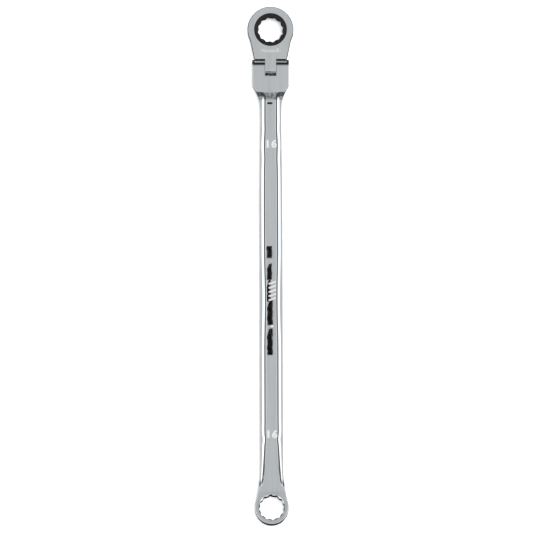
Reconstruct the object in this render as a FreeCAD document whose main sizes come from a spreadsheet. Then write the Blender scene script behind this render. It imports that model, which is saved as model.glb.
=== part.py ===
"""Flex-head ratcheting box wrench, 16 mm across flats.

The wrench lies flat: X across, Y along it with the ratchet head at +Y, Z up through its thickness.
The origin is on the surface it lies on, under the middle of its bounding box.
The handle is drawn with the pivot's axis as its X axis, the head with the socket's axis as its Z axis.
Lengths are in millimetres and angles in degrees.
"""
import FreeCAD, Part
import Sketcher
import math
import os
from FreeCAD import Placement, Rotation, Vector

DIMENSIONS = {
    # where the assembly stands
    "PivotY": 141.535,
    "MidHeight": 5.3,
    # how far cutting tools pass the faces they cut
    "Overlap": 1.0,
    # edge rounding of the handle's forging
    "EdgeRadius": 0.6,
    # 12-point sockets
    "AcrossFlats": 16.1,
    "SocketCornerRadius": 9.14,
    "LeadInDepth": 1.3,
    "LeadInRootRadius": 7.65,
    # fork
    "ForkWidth": 26.1,
    "ForkThickness": 10.6,
    "ForkCornerStart": 13.3,
    "ForkCornerRadius": 4.0,
    "ForkFaceEnd": 17.2,
    "ForkFaceRadius": 5.0,
    "ForkRampEnd": 20.6,
    "ForkRampLift": 0.5,
    "ForkRampRadius": 3.4,
    "ForkFootEnd": 24.2,
    "ForkFootRadius": 14.0,
    "ForkTaperEnd": 21.2,
    "ForkBlendRadius": 26.0,
    "SlotWidth": 8.0,
    "SlotDepth": 6.1,
    "PinRadius": 2.25,
    "PinRecess": 0.15,
    "PinChamfer": 0.3,
    "RunningGap": 0.05,
    # friction ball under the tongue's round end
    "BallRadius": 2.0,
    "BallBoreDepth": 19.0,
    # bar
    "BarThickness": 6.4,
    "BarWidth": 16.3,
    "BarRootWidth": 16.2,
    "BarWaistWidth": 14.9,
    "BarWaist": 33.8,
    "BarFull": 90.0,
    "NeckStart": 294.3,
    "NeckBlendRadius": 110.0,
    "NeckEnd": 310.75,
    "NeckEndWidth": 23.6,
    "NeckSink": 0.02,
    "NeckBendRadius": 25.0,
    "NeckSweep": 286.3,
    "NeckSweepRadius": 60.0,
    "NeckHeel": 302.4,
    "NeckHeelRadius": 12.0,
    # flutes
    "FluteRadius": 5.8,
    "FluteDepth": 1.9,
    "FluteFloor": 0.25,
    "FluteClearance": 0.35,
    "PanelHalfWidth": 4.0,
    "PanelRootInset": 0.55,
    "PanelRootStart": 22.0,
    "PanelRootLength": 72.0,
    "PanelWaist": 0.55,
    "PanelWaistCentre": 165.0,
    "PanelWaistLength": 75.0,
    "FluteStart": 16.0,
    "FluteStartLength": 6.0,
    "FrontFluteEnd": 300.0,
    "BackFluteEnd": 287.0,
    "FluteEndLength": 8.0,
    "FluteTipRadius": 3.2,
    "FluteTaperStart": 258.0,
    "FluteTaperLength": 40.0,
    "FluteFlare": 4.2,
    "FluteFlareStart": 262.0,
    "FluteFlareLength": 70.0,
    # fixed box end
    "RingCentre": 313.3,
    "RingHeight": 1.6,
    "RingRadius": 12.05,
    "RingThickness": 9.0,
    "RingTilt": 12.0,
    "RingLeadInRadius": 9.3,
    "RingPhase": 6.4,
    # ratchet head
    "HeadReach": 26.5,
    "HeadRadius": 16.35,
    "HeadThickness": 10.6,
    "HeadBevelWidth": 2.0,
    "HeadBevelAngle": 12.7,
    "HeadEdgeRadius": 0.3,
    "NeckRootWidth": 32.18,
    "NeckTipWidth": 23.36,
    "NeckLength": 20.9,
    "HeadBlendRadius": 7.0,
    "HeadCornerRadius": 1.2,
    "TongueWidth": 7.7,
    "TongueRoot": 3.0,
    "LipRadius": 11.2,
    "LipThickness": 1.8,
    "LipChamfer": 0.45,
    "PocketRadius": 12.47,
    "SeatDepth": 2.4,
    "SeatRadius": 13.25,
    "WasherRadius": 13.2,
    "WasherThickness": 1.0,
    "GrooveRadius": 13.75,
    "GrooveDepth": 0.5,
    "SnapRingThickness": 0.8,
    "SnapRingWidth": 1.5,
    "SnapRingGap": 5.0,
    # ratchet gear
    "GearLength": 10.4,
    "GearJournalRadius": 11.15,
    "GearTipRadius": 12.35,
    "GearRootRadius": 11.93,
    "GearLeadInRadius": 9.95,
    "GearPhase": 11.4,
    "ToothPitch": 5.0,
    "ToothLand": 0.1,
    # pawl
    "PawlSlant": 27.0,
    "PawlWidth": 6.6,
    "PawlHeight": 5.0,
    "PawlBack": 15.4,
    "PawlBlankFront": 6.0,
    "PawlBlindDepth": 2.0,
    "PawlTravel": 0.75,
    "MeshGap": 0.06,
    # springs
    "PawlSpringRadius": 0.75,
    "PawlSpringWire": 0.15,
    "PawlSpringBore": 1.05,
    "PawlSpringBoreDepth": 2.3,
    "PawlSpringTurns": 9,
    "BallSpringRadius": 1.55,
    "BallSpringWire": 0.25,
    "BallSpringTurns": 9,
}
GEAR_TEETH = 72
PAWL_TEETH = 6
SHEET = "Dimensions"
SLAB_THICKNESS = "40"
NEAR = 0.01
FLUTE_STATIONS = {"start": 5, "bar": 22, "flare": 4, "end": 5}

document = FreeCAD.newDocument("ratchet_wrench")
sheet = document.addObject("Spreadsheet::Sheet", SHEET)
for row, (alias, value) in enumerate(DIMENSIONS.items(), start=1):
    sheet.set(f"A{row}", alias)
    sheet.set(f"B{row}", str(value))
    sheet.setAlias(f"B{row}", alias)
document.recompute()


# ---- formulas in the sheet's aliases ----

def in_sheet(formula):
    """The formula with the sheet's name before each alias."""
    words = []
    word = ""
    for character in str(formula) + " ":
        if character.isalnum():
            word += character
            continue
        words.append(f"{SHEET}.{word}" if word in DIMENSIONS else word)
        words.append(character)
        word = ""
    return "".join(words).strip()


def value_of(formula):
    """The number that a formula stands for now."""
    return float(sheet.evalExpression(in_sheet(formula)))


def bind(feature, **formulas):
    """Binds a feature's properties to formulas; a double underscore in a name stands for a dot."""
    for name, formula in formulas.items():
        feature.setExpression(name.replace("__", "."), in_sheet(formula))
    return feature


def place(feature, base=("0", "0", "0"), axis=Vector(0, 0, 1), angle="0"):
    """Stands a feature at a point given by formulas, turned about an axis by a formula."""
    feature.Placement = Placement(Vector(), Rotation(axis, 1.0))
    for letter, formula in zip("xyz", base):
        feature.setExpression(f"Placement.Base.{letter}", in_sheet(formula))
    feature.setExpression("Placement.Rotation.Angle", in_sheet(angle))
    return feature


# ---- primitives and booleans ----

def box(name, low, size):
    block = document.addObject("Part::Box", name)
    bind(block, Length=size[0], Width=size[1], Height=size[2])
    return place(block, low)


def cylinder(name, radius, length, base=("0", "0", "0"), axis=Vector(0, 0, 1), angle="0"):
    rod = document.addObject("Part::Cylinder", name)
    bind(rod, Radius=radius, Height=length)
    return place(rod, base, axis, angle)


def crosswise(name, radius, length, y="0", z="0"):
    """A cylinder along X, centred on x = 0."""
    return cylinder(name, radius, length, (f"-({length}) / 2", y, z), Vector(0, 1, 0), "90")


def lengthwise(name, radius, length, x, y):
    """A cylinder from a point towards -Y at mid-height."""
    return cylinder(name, radius, length, (x, y, "0"), Vector(1, 0, 0), "90")


def cone(name, low_radius, high_radius, length, base):
    taper = document.addObject("Part::Cone", name)
    bind(taper, Radius1=low_radius, Radius2=high_radius, Height=length)
    return place(taper, base)


def fuse(name, *pieces):
    joined = document.addObject("Part::MultiFuse", name)
    joined.Shapes = list(pieces)
    joined.Refine = True
    return joined


def common(name, first, second):
    shared = document.addObject("Part::MultiCommon", name)
    shared.Shapes = [first, second]
    return shared


def cut(name, base, *tools):
    rest = document.addObject("Part::Cut", name)
    rest.Base = base
    rest.Tool = tools[0] if len(tools) == 1 else fuse(name + "_tools", *tools)
    rest.Refine = True
    return rest


def round_edges(name, base, radius, wanted):
    """A Part::Fillet on the edges of the base that the test accepts."""
    document.recompute()
    edges = [i for i, edge in enumerate(base.Shape.Edges, start=1) if wanted(edge)]
    rounded = document.addObject("Part::Fillet", name)
    rounded.Base = base
    rounded.Edges = [(i, value_of(radius), value_of(radius)) for i in edges]
    return rounded


# ---- sketched bodies ----

def plane_of(body, role):
    return next(item for item in body.Origin.OriginFeatures if item.Role == role)


def new_sketch(body, name, role):
    sketch = body.newObject("Sketcher::SketchObject", name)
    sketch.AttachmentSupport = (plane_of(body, role), [""])
    sketch.MapMode = "FlatFace"
    return sketch


def polygon(body, name, role, corners):
    """A closed sketch of straight lines whose corners are held by bound distances from the origin."""
    sketch = new_sketch(body, name, role)
    points = [Vector(value_of(x), value_of(y), 0) for x, y in corners]
    for start, end in zip(points, points[1:] + points[:1]):
        sketch.addGeometry(Part.LineSegment(start, end), False)
    for i in range(len(points)):
        following = (i + 1) % len(points)
        sketch.addConstraint(Sketcher.Constraint("Coincident", i, 2, following, 1))
    for i, (x, y) in enumerate(corners):
        for kind, formula in (("DistanceX", x), ("DistanceY", y)):
            held = sketch.addConstraint(Sketcher.Constraint(kind, -1, 1, i, 1, value_of(formula)))
            sketch.setExpression(f"Constraints[{held}]", in_sheet(formula))
    return sketch


def pad(body, name, sketch, length):
    """Extrudes the sketch to both sides of its plane, half the length each."""
    solid = body.newObject("PartDesign::Pad", name)
    solid.Profile = sketch
    solid.SideType = "Symmetric"
    bind(solid, Length=length)
    return solid


def blend(body, name, radius, places):
    """A fillet on the body's edges that pass near the places, given as functions of an edge's middle."""
    document.recompute()
    base = body.Tip
    names = []
    for i, edge in enumerate(base.Shape.Edges, start=1):
        middle = edge.CenterOfMass
        if any(test(middle) for test in places):
            names.append(f"Edge{i}")
    fillet = body.newObject("PartDesign::Fillet", name)
    fillet.Base = (base, names)
    bind(fillet, Radius=radius)
    return fillet


def bevel(body, name, width, angle, places):
    """A chamfer on the body's edges that pass near the places, its angle measured from the first face."""
    document.recompute()
    base = body.Tip
    names = []
    for i, edge in enumerate(base.Shape.Edges, start=1):
        if any(test(edge.CenterOfMass) for test in places):
            names.append(f"Edge{i}")
    chamfer = body.newObject("PartDesign::Chamfer", name)
    chamfer.Base = (base, names)
    chamfer.ChamferType = "Distance and Angle"
    bind(chamfer, Size=width, Angle=angle)
    return chamfer


def behind(formula):
    """A test for edges whose middle is a given distance behind the body's origin."""
    level = -value_of(formula)
    return lambda middle: abs(middle.y - level) < NEAR


def mirrored_corners(right_side):
    """The corners of an outline that is symmetrical about its Y axis, from those of its right half."""
    left_side = [(f"-({x})", y) for x, y in reversed(right_side)]
    return right_side + left_side


# ---- 12-point socket ----

def socket_tool(name, lead_in_radius, thickness, phase):
    """Two hexagons turned 30 degrees apart, their corners eased, with a conical lead-in at each mouth."""
    prisms = []
    for turn in (0, 30):
        prism = document.addObject("Part::Prism", f"{name}_hexagon_{turn}")
        prism.Polygon = 6
        bind(prism, Circumradius="AcrossFlats / 2 / cos(30)", Height=f"2 * {thickness}")
        place(prism, ("0", "0", f"-{thickness}"), angle=f"{phase} + {turn}")
        prisms.append(prism)
    easing = cylinder(name + "_easing", "SocketCornerRadius", f"2 * {thickness}", ("0", "0", f"-{thickness}"))
    lobes = common(name + "_lobes", fuse(name + "_star", *prisms), easing)
    wide = f"{lead_in_radius} + Overlap * ({lead_in_radius} - LeadInRootRadius) / LeadInDepth"
    depth = "LeadInDepth + Overlap"
    front = cone(name + "_front", "LeadInRootRadius", wide, depth,
                 ("0", "0", f"{thickness} / 2 - LeadInDepth"))
    back = cone(name + "_back", wide, "LeadInRootRadius", depth, ("0", "0", f"-{thickness} / 2 - Overlap"))
    return fuse(name, lobes, front, back)


# ---- handle: one forging with fork, fluted bar and box end ----

def bar_plan():
    """The outline seen from above, from the fork's ends to the middle of the box end."""
    body = document.addObject("PartDesign::Body", "bar_plan")
    right = [
        ("ForkWidth / 2", "0"),
        ("ForkWidth / 2", "-ForkCornerStart"),
        ("BarRootWidth / 2", "-ForkTaperEnd"),
        ("BarWaistWidth / 2", "-BarWaist"),
        ("BarWidth / 2", "-BarFull"),
        ("BarWidth / 2", "-NeckStart"),
        ("NeckEndWidth / 2", "-NeckEnd"),
    ]
    outline = polygon(body, "bar_outline", "XY_Plane", mirrored_corners(right))
    pad(body, "bar_slab", outline, SLAB_THICKNESS)
    blend(body, "fork_corners", "ForkCornerRadius", [behind("ForkCornerStart")])
    blend(body, "fork_blends", "ForkBlendRadius", [behind("ForkTaperEnd")])
    blend(body, "neck_blends", "NeckBlendRadius", [behind("NeckStart")])
    return body


def ring_plane(at, side):
    """The height of the box end's front (side 1) or back (side -1) plane at a distance behind the pivot."""
    return f"RingHeight + {side} * RingThickness / 2 / cos(RingTilt) + ({at} - RingCentre) * tan(RingTilt)"


def bar_side():
    """The outline seen from the side: fork, ramps down to the bar, and the neck between the ring's planes."""
    body = document.addObject("PartDesign::Body", "bar_side")
    rise = f"({ring_plane('RingCentre', 1)} - NeckSink - BarThickness / 2)"
    bend = f"RingCentre - {rise} / tan(RingTilt)"
    corners = [
        ("0", "ForkThickness / 2"),
        ("-ForkFaceEnd", "ForkThickness / 2"),
        ("-ForkRampEnd", "BarThickness / 2 + ForkRampLift"),
        ("-ForkFootEnd", "BarThickness / 2"),
        (f"-({bend})", "BarThickness / 2"),
        ("-NeckEnd", f"{ring_plane('NeckEnd', 1)} - NeckSink"),
        ("-NeckEnd", f"{ring_plane('NeckEnd', -1)} + NeckSink"),
        ("-NeckHeel", f"{ring_plane('NeckHeel', -1)} + NeckSink"),
        ("-NeckSweep", "-BarThickness / 2"),
        ("-ForkFootEnd", "-BarThickness / 2"),
        ("-ForkRampEnd", "-BarThickness / 2 - ForkRampLift"),
        ("-ForkFaceEnd", "-ForkThickness / 2"),
        ("0", "-ForkThickness / 2"),
    ]
    outline = polygon(body, "side_outline", "YZ_Plane", corners)
    pad(body, "side_slab", outline, SLAB_THICKNESS)
    blend(body, "face_blends", "ForkFaceRadius", [behind("ForkFaceEnd")])
    blend(body, "ramp_blends", "ForkRampRadius", [behind("ForkRampEnd")])
    blend(body, "foot_blends", "ForkFootRadius", [behind("ForkFootEnd")])
    blend(body, "neck_bend", "NeckBendRadius", [behind(bend)])
    blend(body, "neck_sweep", "NeckSweepRadius", [behind("NeckSweep")])
    blend(body, "neck_heel", "NeckHeelRadius", [behind("NeckHeel")])
    return body


def is_outline(edge, shape):
    """True for an edge between an upright side wall and the front or the back of the forging."""
    middle = edge.valueAt((edge.FirstParameter + edge.LastParameter) / 2)
    if middle.y > -NEAR:
        return False
    steepness = []
    for face in shape.ancestorsOfType(edge, Part.Face):
        steepness.append(abs(face.normalAt(*face.Surface.parameter(middle)).z))
    return min(steepness) < NEAR < 0.5 < max(steepness)


def smooth_step(at, start, length):
    """0 before start, 1 after start + length, and an even slope-free rise between."""
    share = min(max((at - start) / length, 0.0), 1.0)
    return share * share * (3 - 2 * share)


def panel_half_width(at):
    """Half the width of the raised panel between the flutes at a distance behind the pivot."""
    root = smooth_step(at, value_of("PanelRootStart"), value_of("PanelRootLength"))
    narrowing = value_of("PanelRootInset") * (1 - root)
    nearness = (at - value_of("PanelWaistCentre")) / value_of("PanelWaistLength / 2")
    waist = value_of("PanelWaist") * (1 + math.cos(math.pi * nearness)) / 2 if abs(nearness) < 1 else 0.0
    spread = smooth_step(at, value_of("FluteFlareStart"), value_of("FluteFlareLength"))
    return value_of("PanelHalfWidth") - narrowing - waist + value_of("FluteFlare") * spread


def flute_section(at, end):
    """The flute's cross-section at a distance behind the pivot: a hollow wall and a flat outer rim."""
    panel = value_of("BarThickness / 2")
    fork = value_of("ForkThickness / 2")
    rim = panel - value_of("FluteDepth")
    start = value_of("FluteStart")
    fall = smooth_step(at, start, value_of("FluteStartLength"))
    rise = smooth_step(at, end - value_of("FluteEndLength"), value_of("FluteEndLength"))
    clearance = value_of("FluteClearance")
    level = (fork + clearance) * (1 - fall) + rim * fall + (value_of("FluteDepth") + clearance) * rise
    taper = smooth_step(at, value_of("FluteTaperStart"), value_of("FluteTaperLength"))
    radius = value_of("FluteRadius") - value_of("FluteRadius - FluteTipRadius") * taper
    to_centre = radius - value_of("FluteFloor")
    above_panel = to_centre - value_of("FluteDepth")
    middle = panel_half_width(at) + math.sqrt(radius ** 2 - above_panel ** 2)
    edge = middle - radius
    centre = level + to_centre
    lip = middle - math.sqrt(radius ** 2 - to_centre ** 2)
    outside = value_of("ForkWidth / 2 + Overlap")
    top = value_of("ForkThickness / 2 + FluteRadius + Overlap")
    floor_angle = math.radians(225)
    corners = [Vector(edge, -at, top), Vector(edge, -at, centre), Vector(lip, -at, level),
               Vector(outside, -at, level), Vector(outside, -at, top)]
    floor = Vector(middle + radius * math.cos(floor_angle), -at, centre + radius * math.sin(floor_angle))
    edges = [
        Part.makeLine(corners[0], corners[1]),
        Part.Arc(corners[1], floor, corners[2]).toShape(),
        Part.makeLine(corners[2], corners[3]),
        Part.makeLine(corners[3], corners[4]),
        Part.makeLine(corners[4], corners[0]),
    ]
    return Part.Wire(edges)


def evenly(start, end, count):
    """Stations after the start, up to and including the end."""
    return [start + (end - start) * i / count for i in range(1, count + 1)]


def flute_tool(name, end):
    """The right flute of the front, lofted through its sections."""
    start = value_of("FluteStart")
    full = value_of("FluteStart + FluteStartLength")
    flare = value_of("FluteFlareStart")
    fade = end - value_of("FluteEndLength")
    stations = [start]
    stations += evenly(start, full, FLUTE_STATIONS["start"])
    stations += evenly(full, flare, FLUTE_STATIONS["bar"])
    stations += evenly(flare, fade, FLUTE_STATIONS["flare"])
    stations += evenly(fade, end, FLUTE_STATIONS["end"])
    flute = document.addObject("Part::Feature", name)
    flute.Shape = Part.makeLoft([flute_section(at, end) for at in stations], True, False)
    return flute


def mirror_image(name, source, normal):
    image = document.addObject("Part::Mirroring", name)
    image.Source = source
    image.Normal = normal
    return image


def flute_tools():
    """The two front flutes, and the two of the back, which end sooner because the neck is thicker there."""
    front = flute_tool("front_flute", value_of("FrontFluteEnd"))
    back_source = flute_tool("back_flute_source", value_of("BackFluteEnd"))
    back = mirror_image("back_flute", back_source, Vector(0, 0, 1))
    rights = [front, back]
    return rights + [mirror_image(flute.Name + "_left", flute, Vector(1, 0, 0)) for flute in rights]


def box_ring():
    """The box end's ring, its outer edges rounded."""
    ring = cylinder("ring_blank", "RingRadius", "RingThickness", ("0", "0", "-RingThickness / 2"))
    return round_edges("box_ring", ring, "EdgeRadius", lambda edge: edge.Closed)


def tilt_ring(feature):
    return place(feature, ("0", "-RingCentre", "RingHeight"), Vector(1, 0, 0), "-RingTilt")


def make_shank():
    square_blank = common("square_blank", bar_plan(), bar_side())
    blank = round_edges("bar_blank", square_blank, "EdgeRadius",
                        lambda edge: is_outline(edge, square_blank.Shape))
    ear_ends = crosswise("ear_ends", "ForkThickness / 2", "ForkWidth")
    ears = common("ears", round_edges("rounded_ears", ear_ends, "EdgeRadius", lambda edge: edge.Closed),
                  box("ear_room", ("-ForkWidth / 2", "-Overlap", "-ForkThickness"),
                      ("ForkWidth", "ForkThickness", "2 * ForkThickness")))
    fluted = cut("fluted_bar", blank, *flute_tools())
    ring = tilt_ring(box_ring())
    forging = fuse("forging", fluted, ears, ring)
    socket = tilt_ring(socket_tool("box_socket", "RingLeadInRadius", "RingThickness", "RingPhase"))
    slot = box("fork_slot", ("-SlotWidth / 2", "-SlotDepth", "-ForkThickness"),
               ("SlotWidth", "SlotDepth + ForkThickness", "2 * ForkThickness"))
    pin_hole = crosswise("ear_holes", "PinRadius", "2 * ForkWidth")
    ball_bore = lengthwise("ball_bore", "BallRadius + RunningGap", "BallBoreDepth", "0", "0")
    return cut("shank", forging, socket, slot, pin_hole, ball_bore)


def make_pivot_pin():
    pin = crosswise("pin_blank", "PinRadius", "ForkWidth - 2 * PinRecess")
    document.recompute()
    chamfer = document.addObject("Part::Chamfer", "pivot_pin")
    chamfer.Base = pin
    size = value_of("PinChamfer")
    chamfer.Edges = [(i, size, size) for i, edge in enumerate(pin.Shape.Edges, start=1) if edge.Closed]
    return chamfer


def make_friction_ball():
    ball = document.addObject("Part::Sphere", "friction_ball")
    bind(ball, Radius="BallRadius")
    return ball


def coil(name, radius, wire, turns, length):
    """A round-wire coil spring along +Y from the body's origin."""
    body = document.addObject("PartDesign::Body", name)
    sketch = new_sketch(body, name + "_wire", "XY_Plane")
    sketch.addGeometry(Part.Circle(Vector(value_of(radius), 0, 0), Vector(0, 0, 1), value_of(wire)), False)
    across = sketch.addConstraint(Sketcher.Constraint("DistanceX", -1, 1, 0, 3, value_of(radius)))
    sketch.setExpression(f"Constraints[{across}]", in_sheet(radius))
    along = sketch.addConstraint(Sketcher.Constraint("DistanceY", -1, 1, 0, 3, value_of(wire)))
    sketch.setExpression(f"Constraints[{along}]", in_sheet(wire))
    thick = sketch.addConstraint(Sketcher.Constraint("Radius", 0, value_of(wire)))
    sketch.setExpression(f"Constraints[{thick}]", in_sheet(wire))
    helix = body.newObject("PartDesign::AdditiveHelix", name + "_coil")
    helix.Profile = sketch
    helix.ReferenceAxis = (sketch, ["V_Axis"])
    helix.Mode = "height-turns-angle"
    bind(helix, Height=f"({length}) - 2 * ({wire})", Turns=turns)
    return body


# ---- ratchet head ----

def head_blank():
    """The round head and its neck, bevelled and rounded on one side, and on the other by its mirror image."""
    body = document.addObject("PartDesign::Body", "head_blank")
    circle = new_sketch(body, "head_circle", "XY_Plane")
    circle.addGeometry(Part.Circle(Vector(), Vector(0, 0, 1), value_of("HeadRadius")), False)
    circle.addConstraint(Sketcher.Constraint("Coincident", 0, 3, -1, 1))
    size = circle.addConstraint(Sketcher.Constraint("Radius", 0, value_of("HeadRadius")))
    circle.setExpression(f"Constraints[{size}]", in_sheet("HeadRadius"))
    pad(body, "head_disc", circle, "HeadThickness")
    corners = mirrored_corners([("NeckRootWidth / 2", "0"), ("NeckTipWidth / 2", "-NeckLength")])
    neck = polygon(body, "neck_outline", "XY_Plane", corners)
    pad(body, "neck", neck, "HeadThickness")
    tip = -value_of("NeckLength")
    edge = value_of("HeadRadius")
    face = value_of("HeadThickness / 2")
    bevel_edge = face - value_of("HeadBevelWidth * tan(HeadBevelAngle)")

    def upright(middle):
        return abs(middle.z) < NEAR

    blend(body, "neck_blends", "HeadBlendRadius",
          [lambda middle: upright(middle) and abs(middle.Length - edge) < 5 * NEAR < abs(middle.x)])
    bevel(body, "head_bevels", "HeadBevelWidth", "HeadBevelAngle",
          [lambda middle: abs(middle.z + face) < NEAR])
    blend(body, "neck_corners", "HeadCornerRadius",
          [lambda middle: abs(middle.z) < face / 2 and abs(middle.y - tip) < NEAR < abs(middle.x)])
    blend(body, "head_edges", "HeadEdgeRadius", [lambda middle: abs(middle.z + bevel_edge) < NEAR])
    return common("head_form", body, mirror_image("head_blank_turned", body, Vector(0, 0, 1)))


def head_bore():
    """The stepped bore: front lip with its chamfer, gear pocket, washer seat and snap-ring groove."""
    low = "-HeadThickness / 2"
    lip = cylinder("lip_bore", "LipRadius", "2 * HeadThickness", ("0", "0", "-HeadThickness"))
    pocket = cylinder("gear_pocket", "PocketRadius", "HeadThickness - LipThickness + Overlap",
                      ("0", "0", f"{low} - Overlap"))
    seat = cylinder("washer_seat", "SeatRadius", "SeatDepth + Overlap", ("0", "0", f"{low} - Overlap"))
    groove = cylinder("ring_groove", "GrooveRadius", "SnapRingThickness + RunningGap",
                      ("0", "0", f"{low} + GrooveDepth"))
    chamfer = cone("lip_chamfer", "LipRadius", "LipRadius + 2 * LipChamfer", "2 * LipChamfer",
                   ("0", "0", "HeadThickness / 2 - LipChamfer"))
    return fuse("head_bore", lip, pocket, seat, groove, chamfer)


def slanted(feature):
    """Turns a feature of the pawl's own frame, whose -Y is the pawl's travel, into the head's frame."""
    return place(feature, angle="-PawlSlant")


PAWL_X = "PocketRadius * sin(PawlSlant)"
PAWL_POCKET_BACK = "PawlBack + PawlTravel + 2 * RunningGap"


def pawl_pocket():
    """A parallel-sided pocket from the gear's bore, and the spring's blind bore behind it."""
    half = "(PawlWidth / 2 + RunningGap)"
    height = "(PawlHeight + 2 * RunningGap)"
    room = box("pawl_room", (f"{PAWL_X} - {half}", f"-({PAWL_POCKET_BACK})", f"-{height} / 2"),
               (f"2 * {half}", f"{PAWL_POCKET_BACK} - PawlBlankFront", height))
    bore = lengthwise("pawl_spring_bore", "PawlSpringBore",
                      f"{PAWL_POCKET_BACK} + PawlSpringBoreDepth - PawlBlankFront", PAWL_X, "-PawlBlankFront")
    return slanted(fuse("pawl_pocket", room, bore))


def make_housing():
    tongue = fuse("tongue",
                  box("tongue_bar", ("-TongueWidth / 2", "-HeadReach", "-HeadThickness / 2"),
                      ("TongueWidth", "HeadReach - NeckLength + TongueRoot", "HeadThickness")),
                  crosswise("tongue_end", "HeadThickness / 2", "TongueWidth", "-HeadReach"))
    solid = fuse("head_solid", head_blank(), tongue)
    pin_hole = crosswise("tongue_hole", "PinRadius + RunningGap", "2 * TongueWidth", "-HeadReach")
    return cut("ratchet_housing", solid, head_bore(), pawl_pocket(), pin_hole)


def make_washer():
    low = "-HeadThickness / 2 + SeatDepth - WasherThickness"
    disc = cylinder("washer_disc", "WasherRadius", "WasherThickness", ("0", "0", low))
    hole = cylinder("washer_hole", "LipRadius", "3 * WasherThickness", ("0", "0", f"{low} - WasherThickness"))
    return cut("cover_washer", disc, hole)


def make_snap_ring():
    """A flat split ring, its gap opposite the neck."""
    low = "-HeadThickness / 2 + GrooveDepth + RunningGap / 2"
    outer = cylinder("snap_outer", "GrooveRadius - RunningGap", "SnapRingThickness", ("0", "0", low))
    inner = cylinder("snap_inner", "GrooveRadius - SnapRingWidth", "3 * SnapRingThickness",
                     ("0", "0", f"{low} - SnapRingThickness"))
    gap = box("snap_gap", ("-SnapRingGap / 2", "0", f"{low} - SnapRingThickness"),
              ("SnapRingGap", "2 * GrooveRadius", "3 * SnapRingThickness"))
    return cut("snap_ring", outer, inner, gap)


# ---- gear and pawl ----

def tooth_ring(name, gap, low, length):
    """The gear's ring of V-shaped teeth, grown by a radial gap so that it can also cut the pawl's face."""
    tip = value_of("GearTipRadius") + gap
    root = value_of("GearRootRadius") + gap
    pitch = math.radians(value_of("ToothPitch"))
    land = value_of("ToothLand") / 2 / tip
    points = []
    for tooth in range(GEAR_TEETH):
        middle = tooth * pitch
        for radius, turn in ((root, land - pitch / 2), (tip, -land), (tip, land), (root, pitch / 2 - land)):
            points.append(Vector(radius * math.cos(middle + turn), radius * math.sin(middle + turn), low))
    outline = Part.makePolygon(points + points[:1])
    ring = document.addObject("Part::Feature", name)
    ring.Shape = Part.Face(outline).extrude(Vector(0, 0, length))
    return ring


def make_gear():
    """Two journals and 72 teeth between them, bored with the turning 12-point socket."""
    journal = cylinder("gear_journal", "GearJournalRadius", "GearLength", ("0", "0", "-GearLength / 2"))
    low = value_of("-HeadThickness / 2 + SeatDepth + RunningGap")
    high = value_of("HeadThickness / 2 - LipThickness - RunningGap")
    teeth = tooth_ring("gear_teeth", 0.0, low, high - low)
    blank = fuse("gear_blank", journal, teeth)
    socket = socket_tool("gear_socket", "GearLeadInRadius", "GearLength", "GearPhase")
    return cut("ratchet_gear", blank, socket)


def make_pawl():
    """A block that slides in its pocket, its face cut to mesh with the gear."""
    block = box("pawl_block", (f"{PAWL_X} - PawlWidth / 2", "-PawlBack", "-PawlHeight / 2"),
                ("PawlWidth", "PawlBack - PawlBlankFront", "PawlHeight"))
    reach = value_of("PawlHeight / 2 + Overlap")
    mesh = tooth_ring("pawl_mesh", value_of("MeshGap"), -reach, 2 * reach)
    spread = value_of("ToothPitch") * PAWL_TEETH / 2
    relief = document.addObject("Part::Cylinder", "pawl_relief")
    bind(relief, Radius="GearTipRadius + 2 * MeshGap", Height="2 * PawlHeight")
    relief.Angle = 360 - 2 * spread
    place(relief, ("0", "0", "-PawlHeight"), angle=f"PawlSlant - 90 + {spread}")
    blind = lengthwise("pawl_blind", "PawlSpringBore", "2 * PawlBlindDepth", PAWL_X,
                       "-PawlBack + PawlBlindDepth")
    return cut("pawl", block, place(mesh, angle="PawlSlant"), relief, blind)


# ---- assembly ----

HANDLE = ("0", "PivotY", "MidHeight")
HEAD = ("0", "PivotY + HeadReach", "MidHeight")
PAWL_SPRING_LENGTH = f"{PAWL_POCKET_BACK} + PawlSpringBoreDepth - PawlBack + PawlBlindDepth"
PAWL_SPRING_FOOT = f"({PAWL_POCKET_BACK} + PawlSpringBoreDepth)"
BALL_CENTRE = "(HeadThickness / 2 + RunningGap + BallRadius)"


def assemble():
    pawl_spring = coil("pawl_spring", "PawlSpringRadius", "PawlSpringWire", "PawlSpringTurns",
                       PAWL_SPRING_LENGTH)
    foot = (f"{PAWL_X} * cos(PawlSlant) - {PAWL_SPRING_FOOT} * sin(PawlSlant)",
            f"PivotY + HeadReach - {PAWL_X} * sin(PawlSlant) - {PAWL_SPRING_FOOT} * cos(PawlSlant)",
            "MidHeight")
    friction_spring = coil("friction_spring", "BallSpringRadius", "BallSpringWire", "BallSpringTurns",
                           f"BallBoreDepth - {BALL_CENTRE} - BallRadius")
    return [
        place(make_shank(), HANDLE),
        place(make_pivot_pin(), HANDLE),
        place(make_friction_ball(), ("0", f"PivotY - {BALL_CENTRE}", "MidHeight")),
        place(friction_spring, ("0", "PivotY - BallBoreDepth", "MidHeight")),
        place(make_housing(), HEAD),
        place(make_washer(), HEAD),
        place(make_snap_ring(), HEAD),
        place(make_gear(), HEAD),
        place(make_pawl(), HEAD, angle="-PawlSlant"),
        place(pawl_spring, foot, angle="-PawlSlant"),
    ]


def check(pieces):
    """Stops with a message if a feature failed or a piece isn't one valid solid."""
    failed = [item.Name for item in document.Objects if {"Invalid", "Error"} & set(item.State)]
    if failed:
        raise RuntimeError(f"features failed: {failed}")
    for piece in pieces:
        shape = piece.Shape
        if shape.isNull() or not shape.isValid() or len(shape.Solids) != 1:
            raise RuntimeError(f"{piece.Label} isn't one valid solid")


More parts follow.
